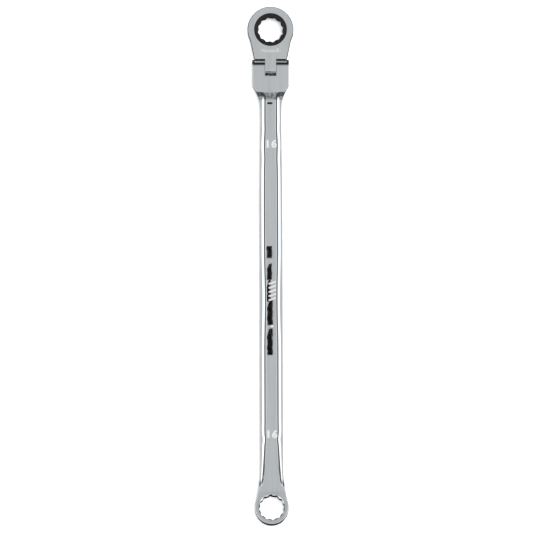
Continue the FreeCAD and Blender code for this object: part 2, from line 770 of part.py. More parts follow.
def write(pieces):
    os.makedirs("parts", exist_ok=True)
    for piece in pieces:
        piece.Shape.exportStep(f"parts/{piece.Label}.step")
        box_of = piece.Shape.BoundBox
        print(f"{piece.Label}: {piece.Shape.Volume:.1f} mm3, y {box_of.YMin:.2f}..{box_of.YMax:.2f}, "
              f"z {box_of.ZMin:.2f}..{box_of.ZMax:.2f}")


pieces = assemble()
document.recompute()
check(pieces)
write(pieces)
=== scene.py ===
"""Looks for the flex-head ratcheting box wrench: staging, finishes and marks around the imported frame."""
import math

import bpy
import bmesh
import numpy as np
from mathutils import Matrix, Vector


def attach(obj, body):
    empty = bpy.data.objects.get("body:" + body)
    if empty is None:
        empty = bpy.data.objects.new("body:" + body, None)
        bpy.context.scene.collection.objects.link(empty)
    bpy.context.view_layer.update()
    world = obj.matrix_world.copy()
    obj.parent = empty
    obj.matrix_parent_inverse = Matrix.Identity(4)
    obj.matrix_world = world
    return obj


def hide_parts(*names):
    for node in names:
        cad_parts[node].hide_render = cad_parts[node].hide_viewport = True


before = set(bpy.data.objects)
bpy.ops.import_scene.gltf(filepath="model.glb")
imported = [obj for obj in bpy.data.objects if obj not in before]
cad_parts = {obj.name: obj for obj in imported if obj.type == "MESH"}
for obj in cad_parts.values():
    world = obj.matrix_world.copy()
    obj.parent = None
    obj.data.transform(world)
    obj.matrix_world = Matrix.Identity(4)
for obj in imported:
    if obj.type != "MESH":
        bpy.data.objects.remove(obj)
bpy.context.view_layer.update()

MM = 0.001
# how wide the view is, and the height at which it is that wide
VIEW_WIDTH = 378.1 * MM
VIEW_LEVEL = 10.6 * MM
CAMERA_HEIGHT = 2.3
CAMERA_AT = Vector((-3.3 * MM, -0.1 * MM, CAMERA_HEIGHT))
CAMERA_ROLL = math.radians(-0.153)
KEY_LIGHT_AT = Vector((0.3, 0.4, 2.0))
KEY_LIGHT_SIZE = 1.6
KEY_LIGHT_WATTS = 70.0
CARD_HEIGHT = 60 * MM
CARD_ROW = 1.5
# only pieces longer than these have wandering edges, and a slanting top
CARD_DASH = 3
CARD_LONG = 9
CARD_SLANT = 1.6
CARD_SLANT_LENGTH = 4
# the dark strip's pieces as they show on the panel: left, right, top and bottom in millimetres
STREAK = (
    (-2.4, 1.1, 116.3, 114.7),
    (-3.2, 0.7, 14.4, 5.8),
    (-3.0, 0.5, 1.6, -9.6),
    (-3.2, -0.4, -10.0, -25.0),
    (-2.9, 1.0, -24.4, -41.7),
    (-3.0, 1.0, -44.2, -62.8),
)
SENSOR = 36.0
PIVOT_Y = 141.535

# the studio's brightness as shares of its peak, against the angle from overhead in degrees
SKY_PEAK = 1.6
SKY_OVERHEAD = 0.56
# shares of the half turn from overhead: where the overhead tone fades out, and the tint goes from high to low
OVERHEAD_FADE = (0.02, 0.06)
TINT_FADE = (0.1, 0.5)
TINT_HIGH = (0.985, 1.0, 1.012, 1)
TINT_LOW = (0.98, 1.0, 1.03, 1)
SKY_BESIDE = (
    (0, 0.35), (20, 0.36), (25, 0.43), (34, 1.0), (67, 1.0),
    (74, 0.1), (110, 0.08), (135, 0.012), (180, 0.01),
)
SKY_AHEAD = (
    (0, 0.35), (17, 0.34), (25, 0.26), (33, 0.2), (40, 0.015),
    (88, 0.015), (96, 0.05), (112, 0.09), (135, 0.012), (180, 0.01),
)
SKY_BEHIND = ((0, 0.35), (25, 0.37), (73, 0.36), (80, 0.1), (110, 0.09), (135, 0.012), (180, 0.01))
# points nearer than this, in metres, are one point
SAME_POINT = 1e-7
# where the ramp's painted shade and its rough bump come in and go out, behind the pivot
SHADED_RAMP_FROM = (16.9, 19.2)
SHADED_RAMP_TO = (22.0, 24.0)


# ---- small node helpers ----

class Nodes:
    """Short calls for building a shader tree."""

    def __init__(self, tree):
        self.tree = tree
        tree.nodes.clear()

    def add(self, kind, **settings):
        node = self.tree.nodes.new(kind)
        for name, setting in settings.items():
            setattr(node, name, setting)
        return node

    def link(self, source, target):
        self.tree.links.new(source, target)
        return target

    def feed(self, socket, value):
        if isinstance(value, bpy.types.NodeSocket):
            self.link(value, socket)
        else:
            socket.default_value = value

    def math(self, operation, first, second=0.0, clamp=False):
        node = self.add("ShaderNodeMath", operation=operation, use_clamp=clamp)
        self.feed(node.inputs[0], first)
        self.feed(node.inputs[1], second)
        return node.outputs[0]

    def ramp(self, value, low, high, to_low=0.0, to_high=1.0):
        node = self.add("ShaderNodeMapRange", interpolation_type="SMOOTHSTEP")
        self.feed(node.inputs["Value"], value)
        node.inputs["From Min"].default_value = low
        node.inputs["From Max"].default_value = high
        node.inputs["To Min"].default_value = to_low
        node.inputs["To Max"].default_value = to_high
        return node.outputs["Result"]

    def mix(self, factor, first, second):
        """Mixes two colours: they are inputs 6 and 7 of the node, and output 2."""
        node = self.add("ShaderNodeMix", data_type="RGBA")
        self.feed(node.inputs[0], factor)
        self.feed(node.inputs[6], first)
        self.feed(node.inputs[7], second)
        return node.outputs[2]

    def place(self, scale=(1, 1, 1)):
        where = self.add("ShaderNodeTexCoord").outputs["Object"]
        mapping = self.add("ShaderNodeMapping")
        mapping.inputs["Scale"].default_value = scale
        self.link(where, mapping.inputs["Vector"])
        return mapping.outputs["Vector"]

    def noise(self, where, scale, detail=2.0, roughness=0.5):
        node = self.add("ShaderNodeTexNoise")
        self.link(where, node.inputs["Vector"])
        node.inputs["Scale"].default_value = scale
        node.inputs["Detail"].default_value = detail
        node.inputs["Roughness"].default_value = roughness
        return node.outputs["Fac"]


def grey(level, cool=0.0):
    return (level * (1 - cool), level, level * (1 + cool), 1.0)


# ---- camera, floor and light ----

def add_camera():
    data = bpy.data.cameras.new("camera")
    data.sensor_width = SENSOR
    data.lens = SENSOR * (CAMERA_HEIGHT - VIEW_LEVEL) / VIEW_WIDTH
    data.clip_start = 0.05
    data.clip_end = 20.0
    camera = bpy.data.objects.new("camera", data)
    camera.location = CAMERA_AT
    camera.rotation_euler = (0.0, 0.0, CAMERA_ROLL)
    bpy.context.scene.collection.objects.link(camera)
    bpy.context.scene.camera = camera


def plane(name, width, depth, at, material):
    mesh = bpy.data.meshes.new(name)
    x, y = width / 2, depth / 2
    mesh.from_pydata([(-x, -y, 0), (x, -y, 0), (x, y, 0), (-x, y, 0)], [], [(0, 1, 2, 3)])
    mesh.materials.append(material)
    sheet = bpy.data.objects.new(name, mesh)
    sheet.location = at
    bpy.context.scene.collection.objects.link(sheet)
    return sheet


def add_floor():
    material = bpy.data.materials.new("floor")
    material.use_nodes = True
    shader = material.node_tree.nodes["Principled BSDF"]
    shader.inputs["Base Color"].default_value = grey(0.9)
    shader.inputs["Roughness"].default_value = 0.9
    shader.inputs["Specular IOR Level"].default_value = 0.1
    floor = plane("floor", 6.0, 6.0, (0, 0, -0.2 * MM), material)
    floor.visible_glossy = False


def sky_band(n, height, stops):
    """Brightness against the angle from overhead, in degrees."""
    ramp = n.add("ShaderNodeValToRGB")
    ramp.color_ramp.elements.remove(ramp.color_ramp.elements[1])
    for number, (angle, level) in enumerate(stops):
        element = ramp.color_ramp.elements[0] if number == 0 else ramp.color_ramp.elements.new(angle / 180)
        element.position = angle / 180
        element.color = (level, level, level, 1)
    n.link(height, ramp.inputs["Fac"])
    return n.math("MULTIPLY", ramp.outputs["Color"], SKY_PEAK)


def add_world():
    """A grey ceiling, white walls beside the wrench, a bright end behind its box end and a dark one ahead."""
    world = bpy.data.worlds.new("studio")
    bpy.context.scene.world = world
    world.use_nodes = True
    n = Nodes(world.node_tree)
    direction = n.add("ShaderNodeTexCoord").outputs["Generated"]
    split = n.add("ShaderNodeSeparateXYZ")
    n.link(direction, split.inputs[0])
    x, y, z = split.outputs
    from_top = n.math("DIVIDE", n.math("ARCCOSINE", z), math.pi)
    across = n.math("MULTIPLY", x, x)
    ahead = n.math("MULTIPLY", n.math("MAXIMUM", y, 0.0), y)
    behind = n.math("MULTIPLY", n.math("MINIMUM", y, 0.0), y)
    level = 0.0
    for share, stops in ((across, SKY_BESIDE), (ahead, SKY_AHEAD), (behind, SKY_BEHIND)):
        level = n.math("ADD", level, n.math("MULTIPLY", share, sky_band(n, from_top, stops)))
    flat = n.math("SUBTRACT", 1.0, n.math("MULTIPLY", z, z))
    level = n.math("DIVIDE", level, n.math("MAXIMUM", flat, 1e-4))
    overhead = n.ramp(from_top, OVERHEAD_FADE[0], OVERHEAD_FADE[1])
    level = n.math("ADD", n.math("MULTIPLY", level, overhead),
                   n.math("MULTIPLY", n.math("SUBTRACT", 1.0, overhead), SKY_OVERHEAD))
    tint = n.mix(n.ramp(from_top, TINT_FADE[0], TINT_FADE[1]), TINT_HIGH, TINT_LOW)
    scale = n.add("ShaderNodeVectorMath", operation="SCALE")
    n.link(tint, scale.inputs[0])
    n.link(level, scale.inputs["Scale"])
    background = n.add("ShaderNodeBackground")
    n.link(scale.outputs[0], background.inputs["Color"])
    output = n.add("ShaderNodeOutputWorld")
    n.link(background.outputs[0], output.inputs["Surface"])


def add_key_light():
    data = bpy.data.lights.new("key", "AREA")
    data.shape = "DISK"
    data.size = KEY_LIGHT_SIZE
    data.energy = KEY_LIGHT_WATTS
    light = bpy.data.objects.new("key", data)
    light.location = KEY_LIGHT_AT
    light.rotation_euler = KEY_LIGHT_AT.to_track_quat("Z", "Y").to_euler()
    light.visible_glossy = False
    bpy.context.scene.collection.objects.link(light)


def wander(y):
    """How far the dark strip's edges stray sideways at a place along the bar, in millimetres."""
    return 0.22 * math.sin(y * 0.9) + 0.15 * math.sin(y * 2.3 + 1)


def add_dark_card():
    """A ragged dark strip over the bar, seen only in the flat panel, like the camera's own reflection."""
    material = bpy.data.materials.new("dark_card")
    material.use_nodes = True
    shader = material.node_tree.nodes["Principled BSDF"]
    shader.inputs["Base Color"].default_value = grey(0.004)
    shader.inputs["Roughness"].default_value = 1.0
    shader.inputs["Specular IOR Level"].default_value = 0.0
    points, faces = [], []
    for left, right, high, low in STREAK:
        length = high - low
        rows = max(int(length / CARD_ROW), 1)
        for row in range(rows + 1):
            share = row / rows
            y = high - length * share
            wave = wander(y) if length > CARD_DASH else 0.0
            slant = 0.0
            if length > CARD_LONG:
                slant = CARD_SLANT * max(0.0, 1 - share * length / CARD_SLANT_LENGTH)
            points += [(left + wave + slant * 0.8, y, 0), (right + 0.7 * wave, y + 0.4 * slant, 0)]
            if row:
                last = len(points)
                faces.append((last - 4, last - 2, last - 1, last - 3))
    mesh = bpy.data.meshes.new("dark_card")
    mesh.from_pydata([tuple(spread(Vector(p) * MM)) for p in points], [], faces)
    mesh.materials.append(material)
    card = bpy.data.objects.new("dark_card", mesh)
    bpy.context.scene.collection.objects.link(card)
    card.visible_camera = False
    card.visible_diffuse = False
    card.visible_shadow = False


def spread(at):
    """Where the camera's ray that mirrors in the panel at a place meets the card's height."""
    share = CARD_HEIGHT / CAMERA_HEIGHT
    ground = Vector((at.x, at.y, 0))
    away = ground - Vector((CAMERA_AT.x, CAMERA_AT.y, 0))
    return ground + away * share + Vector((0, 0, CARD_HEIGHT))


# ---- finishes ----

def finish(name, build):
    material = bpy.data.materials.new(name)
    material.use_nodes = True
    n = Nodes(material.node_tree)
    shader = n.add("ShaderNodeBsdfPrincipled")
    build(n, shader)
    output = n.add("ShaderNodeOutputMaterial")
    n.link(shader.outputs[0], output.inputs["Surface"])
    return material


def chrome(n, shader):
    """Polished chrome: lengthwise streaks, a slow ripple from hand polishing, and painted shade on the ramp's
    slope, a darker mottled base colour with a rough bump.
    """
    shader.inputs["Metallic"].default_value = 1.0
    streaks = n.noise(n.place((1, 0.05, 1)), 420, 3.0, 0.55)
    smears = n.noise(n.place((1, 0.4, 1)), 60, 4.0, 0.6)
    tone = n.mix(streaks, (0.74, 0.76, 0.77, 1), (0.93, 0.95, 0.955, 1))
    n.link(n.ramp(smears, 0.3, 0.75, 0.03, 0.075), shader.inputs["Roughness"])
    split = n.add("ShaderNodeSeparateXYZ")
    n.link(n.add("ShaderNodeTexCoord").outputs["Object"], split.inputs[0])
    behind = n.math("SUBTRACT", PIVOT_Y * MM, split.outputs[1])
    past_start = n.ramp(behind, SHADED_RAMP_FROM[0] * MM, SHADED_RAMP_FROM[1] * MM)
    before_end = n.ramp(behind, SHADED_RAMP_TO[0] * MM, SHADED_RAMP_TO[1] * MM, 1.0, 0.0)
    on_ramp = n.math("MULTIPLY", past_start, before_end)
    # painted shade: the ramp's slope gets a darker, mottled base colour
    ramp_shade_mottle = n.noise(n.place((1, 0.8, 1)), 700, 3.0)
    ramp_painted_shade = n.mix(n.ramp(ramp_shade_mottle, 0.35, 0.65), (0.24, 0.25, 0.26, 1), (0.56, 0.57, 0.58, 1))
    n.link(n.mix(on_ramp, tone, ramp_painted_shade), shader.inputs["Base Color"])
    ripple = n.math("MULTIPLY", n.noise(n.place((1, 0.35, 1)), 110, 2.0), 0.6)
    forging_grain = n.noise(n.place((1, 0.8, 1)), 520, 2.0)
    rough_forging = n.math("MULTIPLY", forging_grain, n.math("MULTIPLY", on_ramp, 5.0))
    bump = n.add("ShaderNodeBump")
    bump.inputs["Strength"].default_value = 0.05
    bump.inputs["Distance"].default_value = 0.0004
    n.link(n.math("ADD", ripple, rough_forging), bump.inputs["Height"])
    n.link(bump.outputs[0], shader.inputs["Normal"])


def black_steel(n, shader):
    """Black phosphate: near black, satin, slightly mottled."""
    shader.inputs["Metallic"].default_value = 0.6
    mottle = n.noise(n.place(), 900, 4.0, 0.6)
    n.link(n.mix(mottle, (0.004, 0.004, 0.005, 1), (0.022, 0.022, 0.024, 1)), shader.inputs["Base Color"])
    n.link(n.ramp(mottle, 0.3, 0.7, 0.28, 0.5), shader.inputs["Roughness"])


def bare_steel(n, shader):
    """Ground steel with a fine grain."""
    shader.inputs["Metallic"].default_value = 1.0
    grain = n.noise(n.place((1, 1, 1)), 1500, 4.0, 0.6)
    n.link(n.mix(grain, (0.32, 0.32, 0.33, 1), (0.5, 0.5, 0.51, 1)), shader.inputs["Base Color"])
    n.link(n.ramp(grain, 0.3, 0.7, 0.22, 0.38), shader.inputs["Roughness"])


FINISHES = {
    "shank": "chrome_forging", "ratchet_housing": "chrome_forging",
    "ratchet_gear": "black_steel", "cover_washer": "black_steel",
    "pivot_pin": "bare_steel", "friction_ball": "bare_steel", "pawl": "bare_steel",
    "friction_spring": "bare_steel", "pawl_spring": "bare_steel", "snap_ring": "bare_steel",
}
MATERIALS = {
    "chrome_forging": finish("polished_chrome", chrome),
    "black_steel": finish("black_phosphate", black_steel),
    "bare_steel": finish("ground_steel", bare_steel),
}


def smooth_normals(obj, crease=math.radians(32)):
    """Shades a mesh by normals averaged over the faces that meet at a point and turn less than the crease."""
    mesh = obj.data
    count = len(mesh.loops)
    corner_vertex = np.empty(count, np.int64)
    mesh.loops.foreach_get("vertex_index", corner_vertex)
    places = np.empty(len(mesh.vertices) * 3)
    mesh.vertices.foreach_get("co", places)
    places = places.reshape(-1, 3)
    keys = np.round(places / SAME_POINT).astype(np.int64)
    _, merged = np.unique(keys, axis=0, return_inverse=True)
    merged = merged.reshape(-1)
    corner_face = np.repeat(np.arange(len(mesh.polygons)), [p.loop_total for p in mesh.polygons])
    normals = np.empty(len(mesh.polygons) * 3)
    mesh.polygons.foreach_get("normal", normals)
    normals = normals.reshape(-1, 3)
    areas = np.empty(len(mesh.polygons))
    mesh.polygons.foreach_get("area", areas)
    point = merged[corner_vertex]
    order = np.argsort(point, kind="stable")
    result = np.empty((count, 3))
    starts = np.flatnonzero(np.r_[True, np.diff(point[order]) > 0])
    limit = math.cos(crease)
    for start, stop in zip(starts, np.r_[starts[1:], count]):
        corners = order[start:stop]
        faces = corner_face[corners]
        near = normals[faces] @ normals[faces].T > limit
        result[corners] = near @ (normals[faces] * areas[faces, None])
    lengths = np.linalg.norm(result, axis=1, keepdims=True)
    result /= np.where(lengths > 0, lengths, 1)
    mesh.shade_smooth()
    mesh.normals_split_custom_set(result.tolist())


for node, slot in FINISHES.items():
    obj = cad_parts[node]
    obj.data.materials.clear()
    obj.data.materials.append(MATERIALS[slot])
    smooth_normals(obj)

# ---- the handle's forging ----
# Distances a are measured behind the pivot, heights up from the bar's front panel.

PANEL_Z = 8.5
BAR = 6.4
EAR = 5.3
FORK_RISE = 2.1
RING_RADIUS = 12.05
RING_THICKNESS = 9.0
RING_TILT = math.radians(12)
BEND_CORNER = 299.18
BEND_RADIUS = 25.0
RING_AFTER_CORNER = 13.479
FLUTE_RADIUS = 5.8
FLUTE_TIP_RADIUS = 3.2
FLUTE_FLOOR = 0.25
FLUTE_DEPTH = 1.9
FLUTE_FADE = 8.0
FLUTE_CLEARANCE = 0.35
FLUTE_START = 16
FLUTE_START_LENGTH = 6
FLUTE_TAPER_START = 258
FLUTE_TAPER_LENGTH = 40
FORK_EDGE_RADIUS = 0.6
BAR_EDGE_LESS = 0.35
BACK_FLUTE_END = 287.0
FRONT_FLUTE_END = 300.0
PANEL_HALF_WIDTH = 4.0
PANEL_ROOT_INSET = 0.55
PANEL_ROOT_START = 22
PANEL_ROOT_LENGTH = 72
PANEL_FLARE = 4.2
PANEL_FLARE_START = 262
PANEL_FLARE_LENGTH = 70
# how much wider each swelling makes half the panel, its middle and its length
PANEL_SWELLINGS = (
    (-0.55, 165, 75), (0.2, 55, 16), (-0.15, 66, 14), (-0.15, 44, 14), (0.1, 257, 12), (-0.4, 264.6, 11),
)
EAR_CORNER = 0.7
FACE_BLEND = 0.22
NECK_BLEND = 0.3
NO_LIMIT = 50.0
# a place past the ring's tip, in every outline
BEYOND = 400
ACROSS_FLATS = 16.1
SOCKET_CORNER = 9.14
RING_PHASE = 6.4
LEAD_IN_RADIUS = 9.3
LEAD_IN_ROOT = 7.65
LEAD_IN_DEPTH = 1.3
SLOT_HALF_WIDTH = 4
SLOT_BACK = 6.1
SLOT_FRONT = 20
SLOT_EASE = 0.35
PIN_RADIUS = 2.25
BALL_BORE_RADIUS = 2.05
BALL_BORE_DEPTH = 19


def rounded_path(*corners):
    """Points of a path through corners (along, across, radius), each corner eased over its tangent length."""
    path = [corners[0][:2]]
    for before, corner, after in zip(corners, corners[1:], corners[2:]):
        here = Vector(corner[:2])
        back = (Vector(before[:2]) - here).normalized()
        ahead = (Vector(after[:2]) - here).normalized()
        turn = math.pi - back.angle(ahead)
        reach = corner[2] * math.tan(turn / 2)
        start, end = here + back * reach, here + ahead * reach
        for t in np.linspace(0, 1, 41):
            path.append(tuple(start * (1 - t) ** 2 + here * 2 * t * (1 - t) + end * t * t))
    path.append(corners[-1][:2])
    return np.array(path)


def along(path, at):
    return float(np.interp(at, path[:, 0], path[:, 1]))


def smooth_step(at, start, length):
    share = min(max((at - start) / length, 0.0), 1.0)
    return share * share * (3 - 2 * share)


def hump(at, middle, length):
    nearness = (at - middle) / (length / 2)
    return (1 + math.cos(math.pi * nearness)) / 2 if abs(nearness) < 1 else 0.0


def soft_min(first, second, width):
    near = max(width - abs(first - second), 0.0) / width
    return min(first, second) - near * near * width / 4


PLAN = rounded_path((-EAR, 13.05, 0), (13.3, 13.05, 4), (21.2, 8.1, 26), (33.8, 7.45, 150), (90, 8.15, 400),
                    (294.3, 8.2, 110), (310.75, 11.8, 0), (BEYOND, 11.8, 0))
RAMP = rounded_path((-EAR, FORK_RISE, 0), (17.2, FORK_RISE, 5), (20.6, 0.5, 3.4), (24.2, 0, 14),
                    (BEYOND, 0, 0))
DEPTH = rounded_path((-EAR, BAR, 0), (286.3, BAR, 60), (300.55, RING_THICKNESS, 12),
                     (BEYOND, RING_THICKNESS, 0))
BEND_START = BEND_CORNER - BEND_RADIUS * math.tan(RING_TILT / 2)
BEND_LENGTH = BEND_RADIUS * RING_TILT
RING_AT = BEND_START + BEND_LENGTH + RING_AFTER_CORNER - BEND_RADIUS * math.tan(RING_TILT / 2)
# from here on the outline is the ring's own circle
RING_ONLY = RING_AT - 2


def front_line(at):
    """A point on the line along the forging's front face, and the direction square to the face there."""
    turn = min(max((at - BEND_START) / BEND_RADIUS, 0.0), RING_TILT)
    y, z = -min(at, BEND_START), 0.0
    y -= BEND_RADIUS * math.sin(turn)
    z += BEND_RADIUS * (1 - math.cos(turn))
    past = max(at - BEND_START - BEND_LENGTH, 0.0)
    y -= past * math.cos(turn)
    z += past * math.sin(turn)
    return Vector((0, y + PIVOT_Y, z + PANEL_Z)), Vector((0, math.sin(turn), math.cos(turn)))


def half_width(at):
    """The outline: the fork with eased ear corners, the bar, the neck, and the ring's circle."""
    behind = -front_line(at)[0].y + PIVOT_Y
    width = along(PLAN, behind)
    corner = max(EAR_CORNER - (at + EAR), 0.0)
    width -= EAR_CORNER - math.sqrt(max(EAR_CORNER ** 2 - corner ** 2, 0.0))
    ring = math.sqrt(max(RING_RADIUS ** 2 - (at - RING_AT) ** 2, 0.0))
    if at > RING_ONLY:
        return ring
    return -soft_min(-width, -ring, NECK_BLEND)


def panel_half_width(at):
    width = PANEL_HALF_WIDTH - PANEL_ROOT_INSET * (1 - smooth_step(at, PANEL_ROOT_START, PANEL_ROOT_LENGTH))
    for wider, middle, length in PANEL_SWELLINGS:
        width += wider * hump(at, middle, length)
    return width + PANEL_FLARE * smooth_step(at, PANEL_FLARE_START, PANEL_FLARE_LENGTH)


def flute_radius(at):
    taper = smooth_step(at, FLUTE_TAPER_START, FLUTE_TAPER_LENGTH)
    return FLUTE_RADIUS - (FLUTE_RADIUS - FLUTE_TIP_RADIUS) * taper


def flute_places(at):
    """How far across the flute's arc has its middle, and where the arc meets the flat rim."""
    radius = flute_radius(at)
    to_centre = radius - FLUTE_FLOOR
    above_panel = to_centre - FLUTE_DEPTH
    middle = panel_half_width(at) + math.sqrt(radius ** 2 - above_panel ** 2)
    return middle, middle - math.sqrt(radius ** 2 - to_centre ** 2)


def relief(at, x, end):
    """How high the front face may stand at a place across the bar, because of its flutes."""
    radius = flute_radius(at)
    middle, lip = flute_places(at)
    if x <= middle - radius:
        return NO_LIMIT
    fall = smooth_step(at, FLUTE_START, FLUTE_START_LENGTH)
    rise = smooth_step(at, end - FLUTE_FADE, FLUTE_FADE)
    level = (FORK_RISE + FLUTE_CLEARANCE) * (1 - fall) - FLUTE_DEPTH * fall
    level += (FLUTE_DEPTH + FLUTE_CLEARANCE) * rise
    if x > lip:
        return level
    return level - FLUTE_FLOOR + radius - math.sqrt(max(radius ** 2 - (middle - x) ** 2, 0.0))


def edge_radius(at):
    """The rounding of the forging's edges, finer along the bar than on the fork and the ring."""
    bar = smooth_step(at, 15, 9) * (1 - smooth_step(at, 286, 14))
    radius = FORK_EDGE_RADIUS - BAR_EDGE_LESS * bar
    ear = math.sqrt(max(EAR ** 2 - min(at, 0.0) ** 2, 0.0))
    return min(radius, 0.95 * ear + 1e-4)


def edge_drop(at, x, width, radius):
    """How far the rounded outline brings the face down at a place across."""
    inside = width - x
    if at > RING_ONLY:
        inside = RING_RADIUS - math.hypot(x, at - RING_AT)
    short = min(max(radius - inside, 0.0), radius)
    return radius - math.sqrt(radius * radius - short * short)


def columns(at):
    """Places across the half section, closer together where the section turns."""
    width = half_width(at)
    radius = min(edge_radius(at), width)
    panel = min(panel_half_width(at), 0.8 * width)
    rim = max(width - radius, 0.0)
    lip = min(flute_places(at)[1], rim - 0.02 * width)
    lip = max(lip, panel + 0.3 * (rim - panel)) if rim > panel else rim
    wall_top = panel - 0.3 * min(1, width / 5)
    wall_foot = panel + 0.45 * (lip - panel) / 3
    places = list(np.linspace(0, 1, 7, endpoint=False) * wall_top)
    places += list(np.linspace(wall_top, wall_foot, 8, endpoint=False))
    places += list(np.linspace(wall_foot, lip, 11, endpoint=False))
    places += list(np.linspace(lip, rim, 4, endpoint=False))
    places += [width - radius * (1 - math.sin(turn)) for turn in np.linspace(0, math.pi / 2, 8)]
    return sorted(min(max(place, 0.0), width) for place in places), width, radius


def half_section(at):
    """(across, height) from the middle of the front, round the right side, to the middle of the back."""
    places, width, radius = columns(at)
    ear = EAR - math.sqrt(max(EAR ** 2 - min(at, 0.0) ** 2, 0.0))
    top = along(RAMP, at) - ear
    bottom = -along(DEPTH, at) - (along(RAMP, at) - ear)
    front = []
    back = []
    for x in places:
        drop = edge_drop(at, x, width, radius)
        front.append((x, soft_min(top, relief(at, x, FRONT_FLUTE_END), FACE_BLEND) - drop))
        back.append((x, -soft_min(-bottom, BAR + relief(at, x, BACK_FLUTE_END), FACE_BLEND) + drop))
    high, low = front[-1][1], back[-1][1]
    wall = [(width, high + (low - high) * t) for t in np.linspace(0, 1, 5)[1:-1]]
    return front + wall + back[::-1]


def stations():
    ears = [-EAR * math.cos(turn) for turn in np.linspace(0, math.pi / 2, 13)]
    spans = [(0, 13, 12), (13, 26, 60), (26, 36, 18), (36, 254, 88), (254, 294, 60), (294, 303, 30),
             (303, RING_AT, 24)]
    found = ears
    for start, stop, count in spans:
        found += list(np.linspace(start, stop, count + 1)[1:])
    found += [RING_AT + RING_RADIUS * math.sin(turn) for turn in np.linspace(0, math.pi / 2, 29)[1:]]
    return found


def new_object(name, points, faces, material):
    mesh = bpy.data.meshes.new(name)
    mesh.from_pydata([tuple(Vector(p) * MM) for p in points], [], faces)
    mesh.materials.append(material)
    obj = bpy.data.objects.new(name, mesh)
    bpy.context.scene.collection.objects.link(obj)
    return obj


def swept_forging(material):
    points, faces = [], []
    rows = stations()
    for at in rows:
        origin, up = front_line(at)
        half = half_section(at)
        loop = half + [(-x, height) for x, height in half[-2:0:-1]]
        points += [origin + up * height + Vector((x, 0, 0)) for x, height in loop]
    count = len(points) // len(rows)
    for row in range(len(rows) - 1):
        for i in range(count):
            j = (i + 1) % count
            a, b = row * count, (row + 1) * count
            faces.append((a + i, a + j, b + j, b + i))
    faces.append(tuple(range(count))[::-1])
    faces.append(tuple(range((len(rows) - 1) * count, len(rows) * count)))
    forging = new_object("forging", points, faces, material)
    shape = bmesh.new()
    shape.from_mesh(forging.data)
    bmesh.ops.remove_doubles(shape, verts=shape.verts, dist=2 * SAME_POINT)
    bmesh.ops.dissolve_degenerate(shape, edges=shape.edges, dist=SAME_POINT)
    bmesh.ops.recalc_face_normals(shape, faces=shape.faces)
    shape.to_mesh(forging.data)
    shape.free()
    return forging


def prism(name, outline, levels, material):
    """A closed solid through copies of an outline; each level is (height, scale or an outline of its own)."""
    points, faces = [], []
    for height, shape in levels:
        ring = shape if isinstance(shape, list) else [(x * shape, y * shape) for x, y in outline]
        points += [(x, y, height) for x, y in ring]
    count = len(outline)
    for level in range(len(levels) - 1):
        for i in range(count):
            j = (i + 1) % count
            a, b = level * count, (level + 1) * count
            faces.append((a + i, a + j, b + j, b + i))
    faces.append(tuple(range(count))[::-1])
    faces.append(tuple(range((len(levels) - 1) * count, len(levels) * count)))
    return new_object(name, points, faces, material)


def socket_outline(phase):
    """The 12-point socket: two hexagons half a corner apart, with their corners eased."""
    outline = []
    for step in range(360):
        angle = math.radians(step)
        reach = 0.0
        for turn in (0, 30):
            local = (step - phase - turn) % 60 - 30
            reach = max(reach, ACROSS_FLATS / 2 / math.cos(math.radians(local)))
        reach = min(reach, SOCKET_CORNER)
        outline.append((reach * math.cos(angle), reach * math.sin(angle)))
    return outline


def circle(radius, count):
    return [(radius * math.cos(2 * math.pi * i / count), radius * math.sin(2 * math.pi * i / count))
            for i in range(count)]


def cut_away(obj, tool):
    """Subtracts a tool from a mesh for good, and removes the tool."""
    bpy.context.view_layer.update()
    modifier = obj.modifiers.new("cut", "BOOLEAN")
    modifier.operation = "DIFFERENCE"
    modifier.solver = "EXACT"
    modifier.object = tool
    graph = bpy.context.evaluated_depsgraph_get()
    mesh = bpy.data.meshes.new_from_object(obj.evaluated_get(graph))
    obj.modifiers.clear()
    obj.data = mesh
    bpy.data.objects.remove(tool)


def cut_box_socket(forging, material):
    """The ring's 12-point socket and the lead-in at each of its faces."""
    ring_point, ring_up = front_line(RING_AT)
    middle = (ring_point - ring_up * RING_THICKNESS / 2) * MM
    ring_frame = Matrix.Translation(middle) @ Matrix.Rotation(-RING_TILT, 4, "X")
    through = [(-RING_THICKNESS, 1.0), (RING_THICKNESS, 1.0)]
    socket = prism("socket_cut", socket_outline(RING_PHASE), through, material)
    socket.matrix_world = ring_frame
    cut_away(forging, socket)
    slope = (LEAD_IN_RADIUS - LEAD_IN_ROOT) / LEAD_IN_DEPTH
    for side in (1, -1):
        mouth = side * RING_THICKNESS / 2
        levels = [(mouth - side * LEAD_IN_DEPTH, LEAD_IN_ROOT), (mouth + side, LEAD_IN_RADIUS + slope)]
        cone = prism("lead_in_cut", circle(1.0, 96), sorted(levels), material)
        cone.matrix_world = ring_frame
        cut_away(forging, cone)


def slot_outline(wider):
    """The slot between the ears, widened and deepened by a margin."""
    x = SLOT_HALF_WIDTH + wider
    back = SLOT_BACK + wider
    return [(-x, -back), (x, -back), (x, SLOT_FRONT), (-x, SLOT_FRONT)]


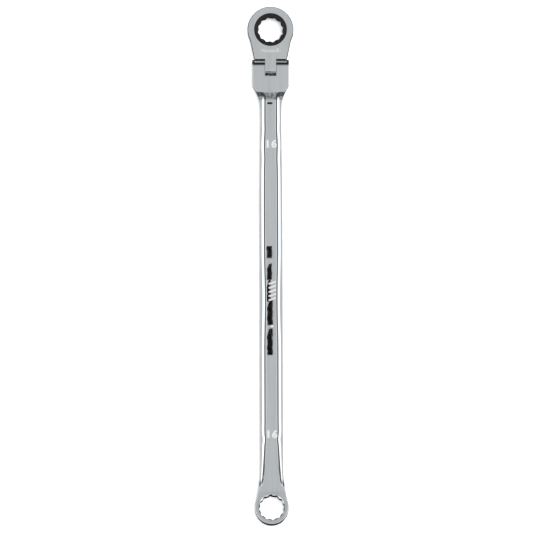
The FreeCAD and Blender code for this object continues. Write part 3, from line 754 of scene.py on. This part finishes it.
def cut_fork(forging, material):
    """The slot with its eased edges, the pin's hole and the friction ball's bore."""
    pivot = Matrix.Translation(Vector((0, PIVOT_Y, PANEL_Z - BAR / 2)) * MM)
    flared = slot_outline(SLOT_EASE + 1)
    levels = [(-EAR - 1, flared), (-EAR + SLOT_EASE, slot_outline(0)),
              (EAR - SLOT_EASE, slot_outline(0)), (EAR + 1, flared)]
    slot = prism("slot_cut", slot_outline(0), levels, material)
    slot.matrix_world = pivot
    cut_away(forging, slot)
    hole = prism("pin_hole_cut", circle(PIN_RADIUS, 64), [(-20, 1.0), (20, 1.0)], material)
    hole.matrix_world = pivot @ Matrix.Rotation(math.pi / 2, 4, "Y")
    cut_away(forging, hole)
    bore = prism("ball_bore_cut", circle(BALL_BORE_RADIUS, 48), [(0, 1.0), (BALL_BORE_DEPTH, 1.0)], material)
    bore.matrix_world = pivot @ Matrix.Rotation(math.pi / 2, 4, "X")
    cut_away(forging, bore)


def make_forging(material):
    forging = swept_forging(material)
    cut_box_socket(forging, material)
    cut_fork(forging, material)
    return forging


forging = make_forging(MATERIALS["chrome_forging"])
smooth_normals(forging, math.radians(30))
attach(forging, "handle")
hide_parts("shank")

# ---- marks ----

def satin_mark(n, shader):
    """The raised marks' satin chrome."""
    shader.inputs["Metallic"].default_value = 0.86
    grain = n.noise(n.place(), 1800, 3.0)
    n.link(n.mix(grain, (0.86, 0.87, 0.87, 1), (0.97, 0.97, 0.96, 1)), shader.inputs["Base Color"])
    n.link(n.ramp(grain, 0.3, 0.7, 0.33, 0.5), shader.inputs["Roughness"])


def etched(n, shader):
    """A faint tan oxide mark."""
    shader.inputs["Metallic"].default_value = 0.75
    grain = n.noise(n.place(), 1500, 4.0)
    n.link(n.mix(grain, (0.50, 0.48, 0.44, 1), (0.63, 0.61, 0.565, 1)), shader.inputs["Base Color"])
    n.link(n.ramp(grain, 0.3, 0.7, 0.3, 0.5), shader.inputs["Roughness"])


MATERIALS["raised_mark"] = finish("satin_chrome", satin_mark)
MATERIALS["etched_mark"] = finish("tan_etch", etched)


def raised_numerals(name, behind, turned):
    """The size in plain raised figures on the panel."""
    text = bpy.data.curves.new(name, "FONT")
    text.body = "16"
    text.size = 7.3 * MM
    text.align_x = "CENTER"
    text.align_y = "CENTER"
    text.space_character = 1.25
    text.extrude = 0.09 * MM
    text.bevel_depth = 0.09 * MM
    text.bevel_resolution = 2
    text.resolution_u = 6
    text.offset = 0.3 * MM
    source = bpy.data.objects.new(name + "_text", text)
    bpy.context.scene.collection.objects.link(source)
    bpy.context.view_layer.update()
    mesh = bpy.data.meshes.new_from_object(source.evaluated_get(bpy.context.evaluated_depsgraph_get()))
    bpy.data.objects.remove(source)
    mesh.materials.clear()
    mesh.materials.append(MATERIALS["raised_mark"])
    numerals = bpy.data.objects.new(name, mesh)
    numerals.location = Vector((0, PIVOT_Y - behind, PANEL_Z)) * MM
    numerals.rotation_euler = (0, 0, math.pi if turned else 0)
    bpy.context.scene.collection.objects.link(numerals)
    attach(numerals, "handle")


def pill(outline_from, outline_to, radius, count=10):
    """The outline of a round-ended bar between two points."""
    start, end = Vector(outline_from), Vector(outline_to)
    heading = math.atan2(end.y - start.y, end.x - start.x)
    outline = []
    for centre, base in ((end, heading - math.pi / 2), (start, heading + math.pi / 2)):
        for step in range(count + 1):
            angle = base + math.pi * step / count
            outline.append((centre.x + radius * math.cos(angle), centre.y + radius * math.sin(angle)))
    return outline


def raised_shapes(name, outlines, low, high, ease, material, body):
    """Low flat-topped pads with eased rims, from their outlines about the pivot's place on the panel."""
    points, faces = [], []
    for outline in outlines:
        middle = Vector((sum(x for x, _ in outline), sum(y for _, y in outline))) / len(outline)
        first = len(points)
        count = len(outline)
        rims = ((low, 0.0), (high - ease, 0.0), (high - ease * 0.3, ease * 0.7), (high, ease * 1.6))
        for height, inward in rims:
            for x, y in outline:
                out = Vector((x, y)) - middle
                x, y = Vector((x, y)) - out.normalized() * min(inward, out.length / 2)
                points.append((x, y + PIVOT_Y, height))
        top = len(rims) - 1
        for level in range(top):
            for i in range(count):
                j = (i + 1) % count
                a, b = first + level * count, first + (level + 1) * count
                faces.append((a + i, a + j, b + j, b + i))
        faces.append(tuple(range(first, first + count))[::-1])
        faces.append(tuple(range(first + top * count, first + (top + 1) * count)))
    pads = new_object(name, points, faces, material)
    pads.data.shade_smooth()
    pads.data.set_sharp_from_angle(angle=math.radians(50))
    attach(pads, body)


def bar_mark():
    """A plain raised pattern in the middle of the bar: five slanting bars, and a dot."""
    outlines = []
    for step in range(5):
        y = -153.1 - step * 2.9
        outlines.append(pill((-1.2, y - 0.75), (2.8, y + 0.75), 0.7))
    finish_of_mark = MATERIALS["raised_mark"]
    sunk = PANEL_Z - 0.1
    raised_shapes("bar_mark", outlines, sunk, PANEL_Z + 0.22, 0.2, finish_of_mark, "handle")
    dot = [(x + 0.6, y - 184) for x, y in circle(1.0, 24)]
    raised_shapes("bar_dot", [dot], sunk, PANEL_Z + 0.3, 0.28, finish_of_mark, "handle")


def rotation_arrow():
    """A generic curved arrow etched below the socket, showing which way the ratchet drives."""
    middle, radius, half, head_half = 35.1, 24.0, 0.8, 1.9
    tail, neck, tip = -106, -79, -73.5
    low, high = 10.55, 10.612
    outer, inner = [], []
    for angle in np.radians(np.linspace(tail, neck, 25)):
        for edge, reach in ((outer, radius + half), (inner, radius - half)):
            edge.append((reach * math.cos(angle), middle + reach * math.sin(angle)))
    head = []
    for reach, turn in ((radius + head_half, neck), (radius, tip), (radius - head_half, neck)):
        head.append((reach * math.cos(math.radians(turn)), middle + reach * math.sin(math.radians(turn))))
    outline = outer + head + inner[::-1]
    points = [(x, y + PIVOT_Y, z) for z in (low, high) for x, y in outline]
    count = len(outline)
    faces = [(i, (i + 1) % count, (i + 1) % count + count, i + count) for i in range(count)]
    faces += [tuple(range(count))[::-1], tuple(range(count, 2 * count))]
    arrow = new_object("rotation_arrow", points, faces, MATERIALS["etched_mark"])
    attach(arrow, "head")


raised_numerals("size_mark_head_end", 54.8, False)
raised_numerals("size_mark_box_end", 261.0, False)
bar_mark()
rotation_arrow()

add_camera()
add_floor()
add_world()
add_key_light()
add_dark_card()
bpy.context.scene.view_settings.view_transform = "Standard"
